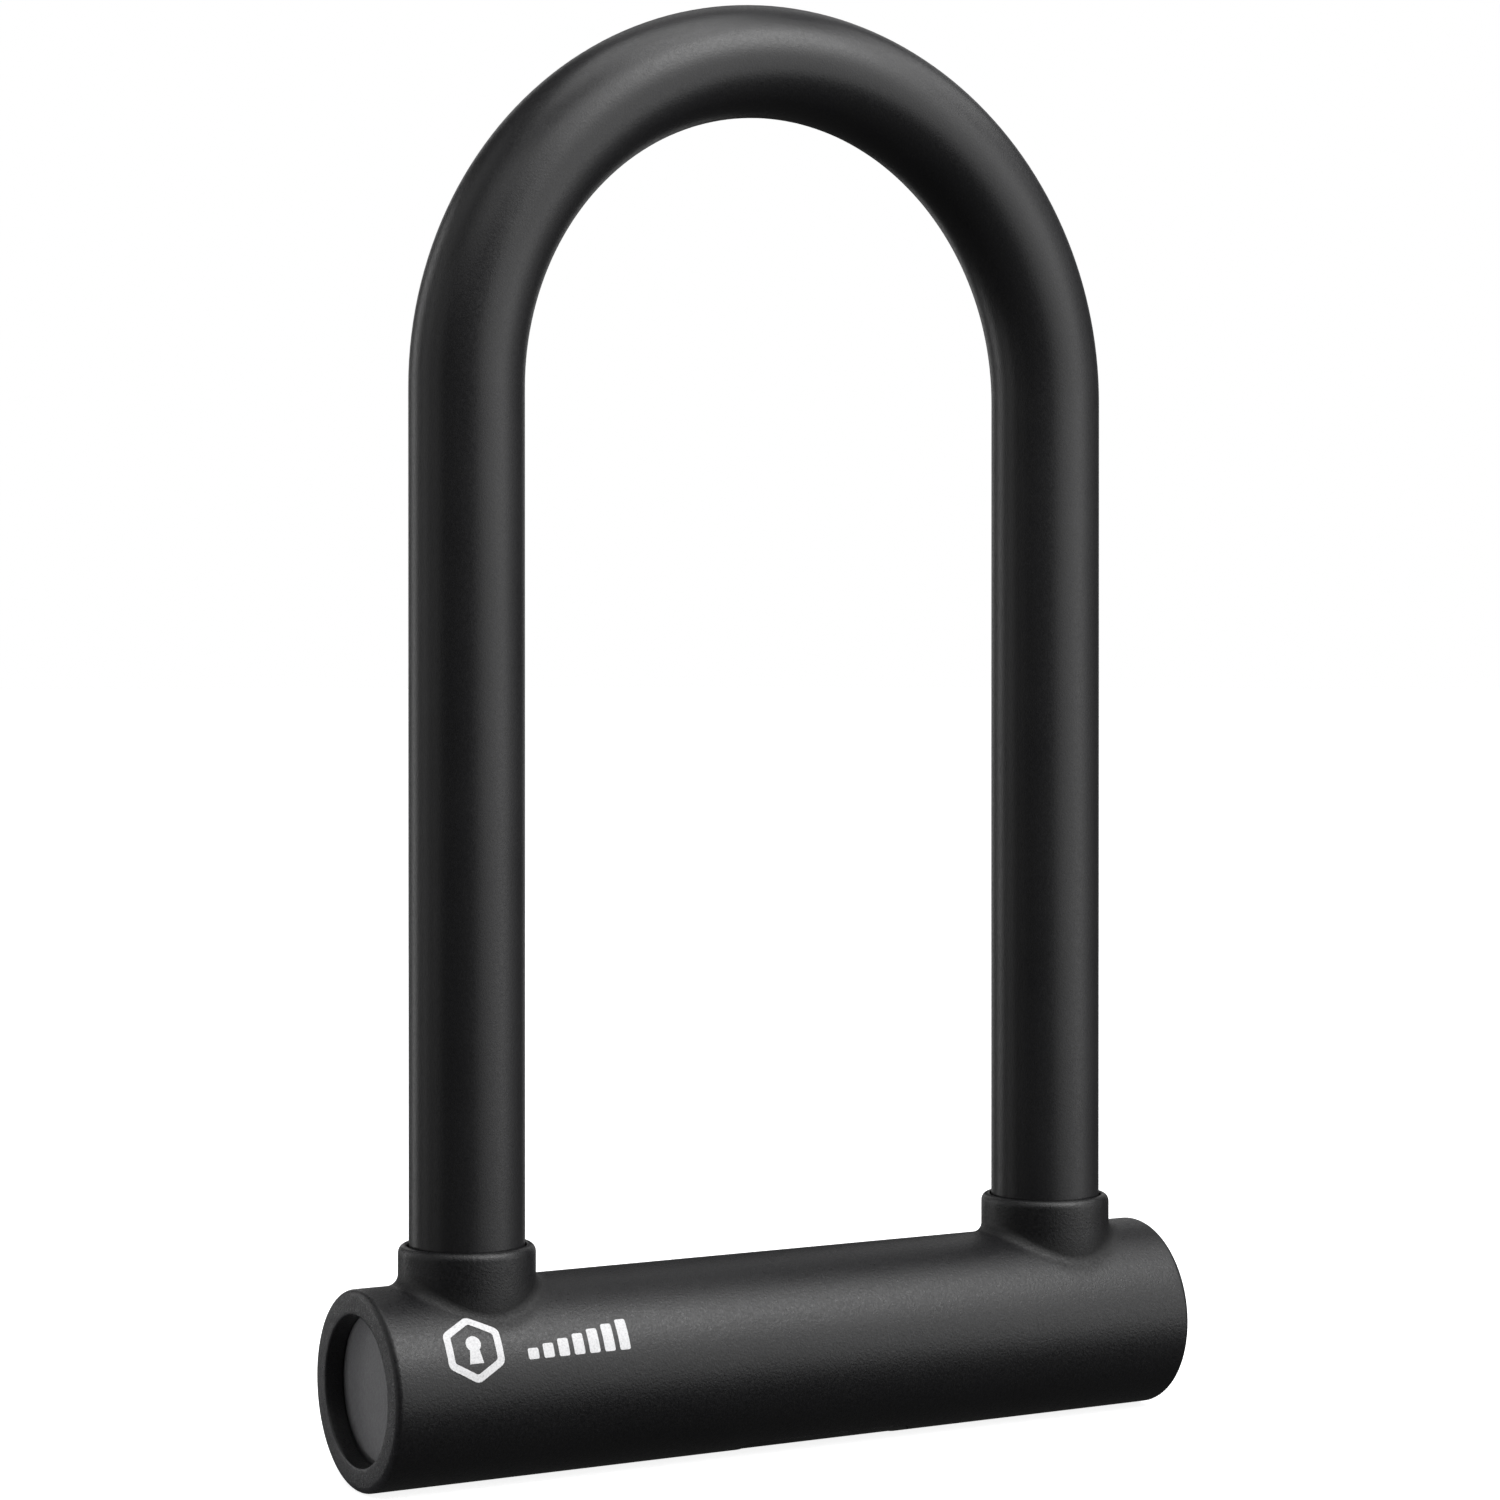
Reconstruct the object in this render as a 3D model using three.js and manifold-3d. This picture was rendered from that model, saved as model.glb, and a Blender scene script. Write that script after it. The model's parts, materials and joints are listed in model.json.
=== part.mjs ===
// A double-bolt U-lock for bicycles: a rubber-sleeved steel shackle that drops
// into the two collars of a crossbar, and a disc-detainer cylinder in the
// middle of the crossbar that throws one deadbolt into each foot.
//
// Units are millimetres. X runs along the crossbar, Z along the shackle's legs,
// and the origin is the lowest point under the middle of the crossbar.
// The lock is shown closed and unlocked: the shackle is home, the bolts are
// drawn back, and the dust cover stands beside the keyhole.
import * as THREE from "three";
import { mergeVertices } from "three/addons/utils/BufferGeometryUtils.js";
import Module from "manifold-3d";

const wasm = await Module();
wasm.setup();

// ---------------------------------------------------------------- dimensions
const BAR_R = 18; // crossbar cover, outer radius
const BAR_HALF = 84.5; // crossbar cover, half length
const END_ROUND = 1.2; // rounding of the cover's end edges
const END_RECESS_R = 13.45; // opening in each end of the cover
const END_RECESS = 3.7; // depth of that opening
const COVER_IN_R = 16.15; // cover, inner radius
const AX = BAR_R; // height of the crossbar's axis above the origin

const LEG_X = 62.59; // shackle leg to the middle of the lock
const ARCH_Z = 179.04; // centre of the arch above the crossbar's axis
const SLEEVE_R = 10.5; // sleeve, outer radius
const SLEEVE_IN_R = 8.3; // sleeve, inner radius (corners of its section)
const ROD_R = 8; // steel shackle rod, radius
const SLEEVE_END_Z = 17.8; // lower end of the sleeve above the axis
const FOOT_END_Z = -9; // lower end of the feet
const FOOT_CHAMFER = 1.5;

const COLLAR_R = 12.45; // collar, outer radius
const COLLAR_BORE_R = 10.8; // collar, bore radius
const COLLAR_TOP_Z = 24.6; // collar rim above the axis
const RIM_ROUND = 1.3;

const TUBE_R = 16; // hardened crossbar tube
const TUBE_IN_R = 12;
const TUBE_HALF = 78;
const FOOT_HOLE_R = 8.4;
const CYL_HOLE_R = 8.3;

const BARREL_R = 11.7; // die-cast barrel inside the tube
const BARREL_HALF = 50;
const BOLT_Z = 3; // axis of the deadbolts above the crossbar's axis
const BOLT_R = 4;
const BOLT_TIP_X = 53.9; // tip of a drawn-back bolt
const BOLT_TAIL_X = 9; // inner end of its round part
const BOLT_THROW = 5.657; // travel of each bolt
const CAM_PIN_CENTRE = 4; // drive pins to the cam's axis
const CAM_PIN_R = 1.2;
const NOTCH_DEPTH = 5.4; // bolt notch in each foot
const NOTCH_HALF = 4.45;

const SHELL_R = 8; // lock cylinder shell
const SHELL_IN_R = 6.4;
const SHELL_LOW = -13.6;
const SHELL_TOP = 0.8;
const DISC_R = 5;
const DISC_T = 1.15;
const SPACER_T = 0.45;
const STACK_GAP = 0.05;
const DISCS = 6;
const STACK_LOW = -11.65; // underside of the first disc
const CARRIER_R = 6.15;
const KEYWAY = { w: 8.2, h: 3.0 };

const PORT_R = 5.6; // keyhole in the surround
const SURROUND = { x0: -11.3, x1: 27.3, half: 9.2, corner: 5 };
const DUST = { x0: 8.6, x1: 25.0, flange: 6.95, pad: 6.0 }; // dust cover, open

// ------------------------------------------------------------------ helpers
// A closed geometry as a solid that can be cut and joined.
function solid(geometry) {
  let g = geometry.index ? geometry.toNonIndexed() : geometry.clone();
  for (const a of ["normal", "uv"]) g.deleteAttribute(a);
  g = mergeVertices(g, 1e-4);
  return new wasm.Manifold(
    new wasm.Mesh({
      numProp: 3,
      vertProperties: new Float32Array(g.attributes.position.array),
      triVerts: new Uint32Array(g.index.array),
    }),
  );
}
// Such a solid as a geometry again.
function geometryOf(s) {
  const m = s.getMesh();
  const v = new Float32Array(m.numVert * 3);
  for (let i = 0; i < m.numVert; i++)
    v.set(m.vertProperties.subarray(i * m.numProp, i * m.numProp + 3), i * 3);
  const g = new THREE.BufferGeometry();
  g.setAttribute("position", new THREE.BufferAttribute(v, 3));
  g.setIndex(new THREE.BufferAttribute(new Uint32Array(m.triVerts), 1));
  g.computeVertexNormals();
  return g;
}
const cut = (a, ...bs) => bs.reduce((s, b) => s.subtract(b), a);
const join = (a, ...bs) => bs.reduce((s, b) => s.add(b), a);

// A cylinder along X, Y or Z between two heights on that axis.
function rod(axis, r, from, to, sides, [a = 0, b = 0] = [], turn = 0) {
  const g = new THREE.CylinderGeometry(r, r, to - from, sides, 1);
  g.rotateY(turn);
  const mid = (from + to) / 2;
  if (axis === "x") g.rotateZ(-Math.PI / 2).translate(mid, a, b);
  if (axis === "y") g.translate(a, mid, b);
  if (axis === "z") g.rotateX(Math.PI / 2).translate(a, b, mid);
  return solid(g);
}
// A box from its two corners.
function box(x0, x1, y0, y1, z0, z1) {
  return solid(
    new THREE.BoxGeometry(x1 - x0, y1 - y0, z1 - z0).translate(
      (x0 + x1) / 2,
      (y0 + y1) / 2,
      (z0 + z1) / 2,
    ),
  );
}
// A profile of [radius, height] pairs turned about Z, or about X if axis is "x".
function turned(profile, sides, axis = "z") {
  const g = new THREE.LatheGeometry(
    profile.map(([r, h]) => new THREE.Vector2(r, h)),
    sides,
  );
  g.rotateX(Math.PI / 2);
  if (axis === "x") g.rotateY(Math.PI / 2);
  const s = solid(g);
  return s.volume() < 0 ? solid(flipped(g)) : s;
}
function flipped(geometry) {
  const g = geometry.clone();
  const i = g.index.array;
  for (let k = 0; k < i.length; k += 3) [i[k + 1], i[k + 2]] = [i[k + 2], i[k + 1]];
  return g;
}
const arc = (cx, cy, r, a0, a1, n) =>
  Array.from({ length: n + 1 }, (_, i) => {
    const a = a0 + ((a1 - a0) * i) / n;
    return [cx + r * Math.cos(a), cy + r * Math.sin(a)];
  });
// A rounded rectangle in the XY plane, extruded from z0 to z1.
function roundedPrism(x0, x1, half, corner, z0, z1, n = 5) {
  const shape = new THREE.Shape();
  shape.moveTo(x0 + corner, -half);
  shape.lineTo(x1 - corner, -half);
  shape.absarc(x1 - corner, -half + corner, corner, -Math.PI / 2, 0, false);
  shape.lineTo(x1, half - corner);
  shape.absarc(x1 - corner, half - corner, corner, 0, Math.PI / 2, false);
  shape.lineTo(x0 + corner, half);
  shape.absarc(x0 + corner, half - corner, corner, Math.PI / 2, Math.PI, false);
  shape.lineTo(x0, -half + corner);
  shape.absarc(x0 + corner, -half + corner, corner, Math.PI, 1.5 * Math.PI, false);
  return solid(
    new THREE.ExtrudeGeometry(shape, {
      depth: z1 - z0,
      bevelEnabled: false,
      curveSegments: n,
    }).translate(0, 0, z0),
  );
}
// A strip of a cylindrical wall under the crossbar's axis, between radii r0 and
// r1 and within y = -half and +half, from x0 to x1.
function underWall(r0, r1, half, x0, x1, n = 12) {
  const a0 = Math.asin(half / r0);
  const a1 = Math.asin(half / r1);
  const inner = Array.from({ length: n + 1 }, (_, i) => -a0 + (2 * a0 * i) / n);
  const outer = Array.from({ length: n + 1 }, (_, i) => a1 - (2 * a1 * i) / n);
  // The shape is drawn in (z, y), and extruded along X after the turn.
  const pts = [
    ...inner.map((a) => [-r0 * Math.cos(a), r0 * Math.sin(a)]),
    ...outer.map((a) => [-r1 * Math.cos(a), r1 * Math.sin(a)]),
  ].map(([z, y]) => new THREE.Vector2(y, z));
  const g = new THREE.ExtrudeGeometry(new THREE.Shape(pts), {
    depth: x1 - x0,
    bevelEnabled: false,
  });
  // (x, y, z) of the shape is (y, z, x) of the lock.
  g.applyMatrix4(new THREE.Matrix4().set(0, 0, 1, x0, 1, 0, 0, 0, 0, 1, 0, 0, 0, 0, 0, 1));
  return solid(g);
}
const turnZ = (s, degrees) => s.rotate([0, 0, degrees]);

// ------------------------------------------------------------------- shackle
// The shackle's centreline: a leg, half a circle and a leg. Its stations lie
// close together on the arch and only at the ends of the straight legs.
class ShacklePath extends THREE.Curve {
  constructor(endZ, archSteps) {
    super();
    this.endZ = endZ;
    this.steps = archSteps + 2;
  }
  station(k) {
    const last = this.steps;
    if (k <= 0) return [-LEG_X, this.endZ, 0];
    if (k >= last) return [LEG_X, this.endZ, 0];
    const a = Math.PI - (Math.PI * (k - 1)) / (last - 2);
    return [LEG_X * Math.cos(a), ARCH_Z + LEG_X * Math.sin(a), a];
  }
  getPoint(t, target = new THREE.Vector3()) {
    const k = t * this.steps;
    const lo = Math.floor(k + 1e-9);
    const p = this.station(lo);
    const q = this.station(Math.min(lo + 1, this.steps));
    const f = Math.max(0, k - lo);
    return target.set(p[0] + (q[0] - p[0]) * f, 0, p[1] + (q[1] - p[1]) * f);
  }
  getPointAt(u, target) {
    return this.getPoint(u, target);
  }
  getTangentAt(u, target = new THREE.Vector3()) {
    const k = Math.round(u * this.steps);
    if (k <= 1) return target.set(0, 0, 1);
    if (k >= this.steps - 1) return target.set(0, 0, -1);
    const a = this.station(k)[2];
    return target.set(Math.sin(a), 0, -Math.cos(a));
  }
}
function circleShape(r, n, hole, holeSides) {
  const ring = (q, sides) =>
    Array.from({ length: sides }, (_, i) => {
      const a = (2 * Math.PI * i) / sides;
      return new THREE.Vector2(q * Math.cos(a), q * Math.sin(a));
    });
  const shape = new THREE.Shape(ring(r, n));
  if (hole) shape.holes.push(new THREE.Path(ring(hole, holeSides).reverse()));
  return shape;
}
function swept(shape, endZ, archSteps) {
  const path = new ShacklePath(endZ, archSteps);
  const g = new THREE.ExtrudeGeometry(shape, {
    steps: path.steps,
    bevelEnabled: false,
    extrudePath: path,
  });
  const s = solid(g);
  if (s.volume() >= 0) return s;
  // Its faces point inwards, so two corners of each triangle change places.
  const p = g.getAttribute("position");
  for (let i = 0; i < p.count; i += 3)
    for (let c = 0; c < 3; c++) {
      const t = p.array[(i + 1) * 3 + c];
      p.array[(i + 1) * 3 + c] = p.array[(i + 2) * 3 + c];
      p.array[(i + 2) * 3 + c] = t;
    }
  return solid(g);
}

const sleeve = swept(circleShape(SLEEVE_R, 24, SLEEVE_IN_R, 16), SLEEVE_END_Z, 24);

function foot(side) {
  const x = side * LEG_X;
  // What is cut away: the bolt notch on the inner side and the end's chamfer.
  const flat = x - side * (ROD_R - NOTCH_DEPTH);
  const far = x - side * (ROD_R + 1);
  const notch = box(
    Math.min(flat, far),
    Math.max(flat, far),
    -9,
    9,
    BOLT_Z - NOTCH_HALF,
    BOLT_Z + NOTCH_HALF,
  );
  const chamfer = turned(
    [
      [ROD_R - FOOT_CHAMFER, FOOT_END_Z - 1e-3],
      [ROD_R + 2, FOOT_END_Z - 1e-3],
      [ROD_R + 2, FOOT_END_Z + FOOT_CHAMFER + 2],
      [ROD_R - FOOT_CHAMFER, FOOT_END_Z - 1e-3],
    ],
    20,
  ).translate([x, 0, 0]);
  return [notch, chamfer];
}
const shackleBar = cut(
  swept(circleShape(ROD_R, 16), FOOT_END_Z, 24),
  ...foot(-1),
  ...foot(1),
);

// ------------------------------------------------------------------ crossbar
const H = Math.PI / 2;
const coverProfile = [
  [0, -BAR_HALF],
  ...arc(BAR_R - END_ROUND, -BAR_HALF + END_ROUND, END_ROUND, -H, 0, 3),
  ...arc(BAR_R - END_ROUND, BAR_HALF - END_ROUND, END_ROUND, 0, H, 3),
  [0, BAR_HALF],
];
// The room inside the cover, with a narrower opening at each end.
const LIP_X = BAR_HALF - END_RECESS + 0.3;
const roomProfile = [
  [0, -BAR_HALF - 1],
  [END_RECESS_R, -BAR_HALF - 1],
  [END_RECESS_R, -LIP_X],
  [COVER_IN_R, -LIP_X],
  [COVER_IN_R, LIP_X],
  [END_RECESS_R, LIP_X],
  [END_RECESS_R, BAR_HALF + 1],
  [0, BAR_HALF + 1],
];
const collar = (x) =>
  turned(
    [
      [0, 2],
      [COLLAR_R, 2],
      ...arc(COLLAR_R - RIM_ROUND, COLLAR_TOP_Z - RIM_ROUND, RIM_ROUND, 0, H, 3),
      [0, COLLAR_TOP_Z],
    ],
    28,
  ).translate([x, 0, 0]);
const outerCover = cut(
  join(turned(coverProfile, 40, "x"), collar(-LEG_X), collar(LEG_X)),
  turned(roomProfile, 40, "x"),
  rod("z", COLLAR_BORE_R, 0, COLLAR_TOP_Z + 1, 28, [-LEG_X, 0]),
  rod("z", COLLAR_BORE_R, 0, COLLAR_TOP_Z + 1, 28, [LEG_X, 0]),
  roundedPrism(
    SURROUND.x0 - 0.2,
    SURROUND.x1 + 0.2,
    SURROUND.half + 0.2,
    SURROUND.corner + 0.2,
    -20,
    -8,
  ),
);

const PIN_X = 75; // end-plug pins
const BARREL_PIN_X = 40;
const BARREL_PIN_Z = -6.5;
const crossbarTube = cut(
  turned(
    [
      [TUBE_IN_R, -TUBE_HALF],
      [TUBE_R - 0.5, -TUBE_HALF],
      [TUBE_R, -TUBE_HALF + 0.5],
      [TUBE_R, TUBE_HALF - 0.5],
      [TUBE_R - 0.5, TUBE_HALF],
      [TUBE_IN_R, TUBE_HALF],
      [TUBE_IN_R, -TUBE_HALF],
    ],
    40,
    "x",
  ),
  rod("z", FOOT_HOLE_R, 0, 20, 28, [-LEG_X, 0]),
  rod("z", FOOT_HOLE_R, 0, 20, 28, [LEG_X, 0]),
  rod("z", CYL_HOLE_R, -20, 0, 28),
  ...[-1, 1].flatMap((s) => [
    rod("y", 1.7, -20, 20, 10, [s * PIN_X, 0]),
    rod("y", 1.7, -20, 20, 10, [s * BARREL_PIN_X, BARREL_PIN_Z]),
  ]),
);

const endPlug = cut(
  turned(
    [
      [0, 71.6],
      [BARREL_R - 0.8, 71.6],
      [BARREL_R, 72.4],
      [BARREL_R, TUBE_HALF + 0.3],
      [TUBE_R - 0.2, TUBE_HALF + 0.3],
      [TUBE_R - 0.2, BAR_HALF - END_RECESS - 0.3],
      [TUBE_R - 0.5, BAR_HALF - END_RECESS],
      [0, BAR_HALF - END_RECESS],
    ],
    40,
    "x",
  ),
  rod("y", 1.7, -20, 20, 10, [PIN_X, 0]),
);
const endPlugPin = rod("y", 1.5, -15.4, 15.4, 10, [PIN_X, 0]);

const guideBush = cut(
  rod("z", COLLAR_BORE_R - 0.25, 6, SLEEVE_END_Z - 0.4, 28, [LEG_X, 0]),
  rod("z", FOOT_HOLE_R, 0, 20, 28, [LEG_X, 0]),
  rod("x", TUBE_R + 0.3, 40, 84, 40),
);
const footPad = rod("z", 6.2, -12.5, FOOT_END_Z - 0.3, 20, [LEG_X, 0]).intersect(
  rod("x", BARREL_R, 50, 76, 40),
);

// ----------------------------------------------------------- barrel and bolts
const SCREW = { x: 26, y: 6.6, seat: 5.8 };
const screwSpots = [
  [SCREW.x, SCREW.y],
  [-SCREW.x, SCREW.y],
  [-SCREW.x, -SCREW.y],
  [SCREW.x, -SCREW.y],
];
const boltChannels = join(
  rod("x", BOLT_R + 0.35, 8, BARREL_HALF + 1, 20, [0, BOLT_Z]),
  rod("x", BOLT_R + 0.35, -BARREL_HALF - 1, -8, 20, [0, BOLT_Z]),
);
const barrelWhole = rod("x", BARREL_R, -BARREL_HALF, BARREL_HALF, 40);
const barrelLower = cut(
  barrelWhole.intersect(box(-60, 60, -20, 20, -20, BOLT_Z - 0.15)),
  boltChannels,
  rod("z", CYL_HOLE_R, -20, 10, 28),
  ...screwSpots.map((p) => rod("z", 1.5, -4.5, 10, 8, p)),
  ...[-1, 1].map((s) => rod("y", 1.7, -20, 20, 10, [s * BARREL_PIN_X, BARREL_PIN_Z])),
  rod("y", 1.65, -20, -5, 12, [0, -3]),
);
const barrelUpper = cut(
  barrelWhole.intersect(box(-60, 60, -20, 20, BOLT_Z + 0.15, 20)),
  boltChannels,
  box(-16.6, 16.6, -7.6, 7.6, 0, 6.9),
  ...screwSpots.flatMap((p) => [
    rod("z", 1.5, 0, 12, 8, p),
    rod("z", 2.5, SCREW.seat, 14, 12, p),
  ]),
);
const barrelScrew = cut(
  join(
    rod("z", 1.25, -4, SCREW.seat + 0.3, 8),
    rod("z", 2.1, SCREW.seat + 0.1, SCREW.seat + 1.5, 12),
  ),
  rod("z", 1.05, SCREW.seat + 0.6, SCREW.seat + 3, 6),
);
const barrelPin = rod("y", 1.5, -13.4, 13.4, 10, [BARREL_PIN_X, BARREL_PIN_Z]);

// The left bolt. Its tail lies over the cam on the +Y side, and the cross slot
// in it holds one drive pin. The right bolt is the same piece turned half round.
const pinAt = CAM_PIN_CENTRE * Math.SQRT1_2;
const boltLeft = cut(
  join(
    turned(
      [
        [0, -BOLT_TIP_X],
        [BOLT_R - 0.8, -BOLT_TIP_X],
        [BOLT_R, -BOLT_TIP_X + 0.8],
        [BOLT_R, -BOLT_TAIL_X],
        [0, -BOLT_TAIL_X],
      ],
      20,
      "x",
    ).translate([0, 0, BOLT_Z]),
    box(-10.6, 6.2, 0.35, 7.2, 3.4, 6.4),
  ),
  box(pinAt - 1.5, pinAt + 1.5, 1.35, 5.55, 3, 7),
);
const boltRight = turnZ(boltLeft, 180);

// ------------------------------------------------------------ lock cylinder
const shell = cut(
  rod("z", SHELL_R, SHELL_LOW, SHELL_TOP, 28),
  rod("z", 5.2, SHELL_LOW - 1, SHELL_LOW + 0.7, 28),
  rod("z", SHELL_IN_R, SHELL_LOW + 0.7, SHELL_TOP + 1, 28),
  rod("z", 6.95, -0.3, 0.65, 28), // retaining-ring groove
  box(-7.2, -6, -1.05, 1.05, -11.8, -1.9), // sidebar groove, met when locked
  rod("y", 1.6, -9, -7.4, 12, [0, -3]), // dimple for the set screw
);
const setScrew = cut(
  rod("y", 1.45, -11.1, -7.7, 12, [0, -3]),
  box(-2, 2, -12, -10.5, -3.3, -2.7),
);
const ringGap = box(-1.6, 1.6, 2, 8, -1, 1);
const retainingRing = cut(
  rod("z", 6.7, -0.2, 0.55, 32),
  rod("z", 4.9, -1, 1, 24),
  ringGap,
);

const slot = (z0, z1) =>
  box(-KEYWAY.w / 2, KEYWAY.w / 2, -KEYWAY.h / 2, KEYWAY.h / 2, z0, z1);
const frontDisc = cut(
  rod("z", 6.1, SHELL_LOW + 0.8, SHELL_LOW + 1.8, 28),
  slot(-20, -8),
);
const stackTop = STACK_LOW + DISCS * DISC_T + (DISCS - 1) * (SPACER_T + 2 * STACK_GAP);
const carrier = join(
  cut(
    rod("z", CARRIER_R, STACK_LOW - 0.05, -0.45, 28),
    rod("z", DISC_R + 0.2, STACK_LOW - 1, stackTop + 0.15, 28),
    box(-1.05, 1.05, 3, 8, STACK_LOW - 1, stackTop + 0.15), // sidebar slot
  ),
  rod("z", 2 * Math.SQRT2, -1, 3, 4), // tang, a square on its corner
);
const disc = cut(
  rod("z", DISC_R, 0, DISC_T, 20),
  slot(-1, DISC_T + 1),
  box(-1.05, 1.05, 4.05, 6, -1, DISC_T + 1), // gate
);
const spacer = cut(
  rod("z", DISC_R, 0, SPACER_T, 16),
  rod("z", 4.3, -1, 2, 16),
  box(-1.05, 1.05, 3.5, 6, -1, 2),
);
const sidebar = rod("z", 0.85, STACK_LOW + 0.05, stackTop - 0.05, 10, [0, 5.15]);
const cam = join(
  cut(rod("z", 6, 1.1, 3.1, 28), rod("z", 2 * Math.SQRT2 + 0.2, 0, 5, 4)),
  rod("z", CAM_PIN_R, 2.5, 6.2, 14, [pinAt, pinAt]),
  rod("z", CAM_PIN_R, 2.5, 6.2, 14, [-pinAt, -pinAt]),
);

// ------------------------------------------------- keyhole surround and cover
const S = SURROUND;
const surround = cut(
  underWall(16.3, BAR_R, 12, S.x0 - 1, S.x1 + 1).intersect(
    roundedPrism(S.x0, S.x1, S.half, S.corner, -20, -8),
  ),
  rod("z", PORT_R, -20, -10, 28),
  underWall(17.0, 17.55, 7.1, S.x0 + 2, S.x1 - 2), // track of the dust cover
  underWall(17.5, 19, 6.2, S.x0 + 2, S.x1 - 2),
);
const dustCover = join(
  underWall(17.1, 17.45, DUST.flange, DUST.x0, DUST.x1),
  underWall(17.4, 17.88, DUST.pad, DUST.x0, DUST.x1),
);

// ---------------------------------------------------------------- materials
const material = (color, roughness, metalness) =>
  new THREE.MeshStandardMaterial({ color, roughness, metalness });
const M = {
  sleeve: material(0x1b1b1d, 0.5, 0),
  cover: material(0x19191b, 0.55, 0),
  plug: material(0x1f1f21, 0.55, 0),
  steel: material(0x8b8d90, 0.35, 1),
  zinc: material(0x9a9c9f, 0.5, 1),
  brass: material(0xb08d4a, 0.35, 1),
  nylon: material(0x26262a, 0.6, 0),
  rubber: material(0x141415, 0.85, 0),
};

// ------------------------------------------------------------------ assembly
const lock = new THREE.Group();
const crossbar = new THREE.Group();
const shackle = new THREE.Group();
const plug = new THREE.Group();
lock.add(crossbar, shackle, plug);
// Every piece is drawn about the crossbar's axis, which lies AX above the origin.
lock.position.set(0, 0, AX);
function piece(group, name, s, mat, at = [0, 0, 0], turn = 0) {
  const mesh = new THREE.Mesh(geometryOf(s), mat);
  mesh.name = name;
  mesh.position.set(...at);
  mesh.rotation.z = turn;
  group.add(mesh);
}

piece(shackle, "shackle_bar", shackleBar, M.steel);
piece(shackle, "shackle_sleeve", sleeve, M.sleeve);

piece(crossbar, "outer_cover", outerCover, M.cover);
piece(crossbar, "crossbar_tube", crossbarTube, M.steel);
for (const [side, turn] of [
  ["right", 0],
  ["left", Math.PI],
]) {
  piece(crossbar, "end_plug_" + side, endPlug, M.plug, undefined, turn);
  piece(crossbar, "end_plug_pin_" + side, endPlugPin, M.steel, undefined, turn);
  piece(crossbar, "guide_bush_" + side, guideBush, M.nylon, undefined, turn);
  piece(crossbar, "foot_pad_" + side, footPad, M.rubber, undefined, turn);
  piece(crossbar, "barrel_pin_" + side, barrelPin, M.steel, undefined, turn);
}
piece(crossbar, "barrel_lower", barrelLower, M.zinc);
piece(crossbar, "barrel_upper", barrelUpper, M.zinc);
screwSpots.forEach(([x, y], i) =>
  piece(crossbar, "barrel_screw_" + (i + 1), barrelScrew, M.steel, [x, y, 0]),
);
piece(crossbar, "cylinder_shell", shell, M.brass);
piece(crossbar, "cylinder_set_screw", setScrew, M.steel);
piece(crossbar, "retaining_ring", retainingRing, M.steel);
piece(crossbar, "keyhole_surround", surround, M.nylon);

piece(plug, "front_disc", frontDisc, M.steel);
piece(plug, "disc_carrier", carrier, M.brass);
for (let i = 0; i < DISCS; i++) {
  const z = STACK_LOW + i * (DISC_T + SPACER_T + 2 * STACK_GAP);
  piece(plug, "code_disc_" + (i + 1), disc, M.brass, [0, 0, z]);
  if (i < DISCS - 1)
    piece(plug, "disc_spacer_" + (i + 1), spacer, M.steel, [0, 0, z + DISC_T + STACK_GAP]);
}
piece(plug, "sidebar", sidebar, M.steel);
piece(plug, "drive_cam", cam, M.steel);

piece(lock, "bolt_left", boltLeft, M.steel);
piece(lock, "bolt_right", boltRight, M.steel);
piece(lock, "dust_cover", dustCover, M.nylon);

export default lock;
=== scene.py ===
"""U-lock: the looks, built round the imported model. Millimetres inside the helpers, metres in Blender."""

import json
import math

import bmesh
import bpy
from mathutils import Matrix, Vector

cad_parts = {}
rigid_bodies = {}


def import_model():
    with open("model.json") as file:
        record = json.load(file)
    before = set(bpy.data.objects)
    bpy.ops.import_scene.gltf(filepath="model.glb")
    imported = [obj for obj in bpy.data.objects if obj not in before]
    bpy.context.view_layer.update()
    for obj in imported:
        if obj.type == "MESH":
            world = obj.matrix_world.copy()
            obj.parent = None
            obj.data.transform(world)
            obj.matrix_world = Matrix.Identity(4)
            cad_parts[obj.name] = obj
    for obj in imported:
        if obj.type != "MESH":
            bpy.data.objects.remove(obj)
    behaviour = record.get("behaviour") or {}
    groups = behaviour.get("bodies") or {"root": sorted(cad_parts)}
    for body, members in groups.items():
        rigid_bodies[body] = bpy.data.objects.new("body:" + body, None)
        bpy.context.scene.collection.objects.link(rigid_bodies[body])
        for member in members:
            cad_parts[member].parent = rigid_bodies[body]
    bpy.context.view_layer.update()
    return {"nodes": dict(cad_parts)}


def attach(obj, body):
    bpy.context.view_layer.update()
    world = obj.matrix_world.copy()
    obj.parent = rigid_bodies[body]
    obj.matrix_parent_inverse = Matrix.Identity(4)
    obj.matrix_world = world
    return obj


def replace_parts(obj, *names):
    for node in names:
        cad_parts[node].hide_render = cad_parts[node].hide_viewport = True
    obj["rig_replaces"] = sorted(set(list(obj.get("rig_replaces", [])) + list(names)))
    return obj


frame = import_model()
scene = bpy.context.scene
MM = 0.001

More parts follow.
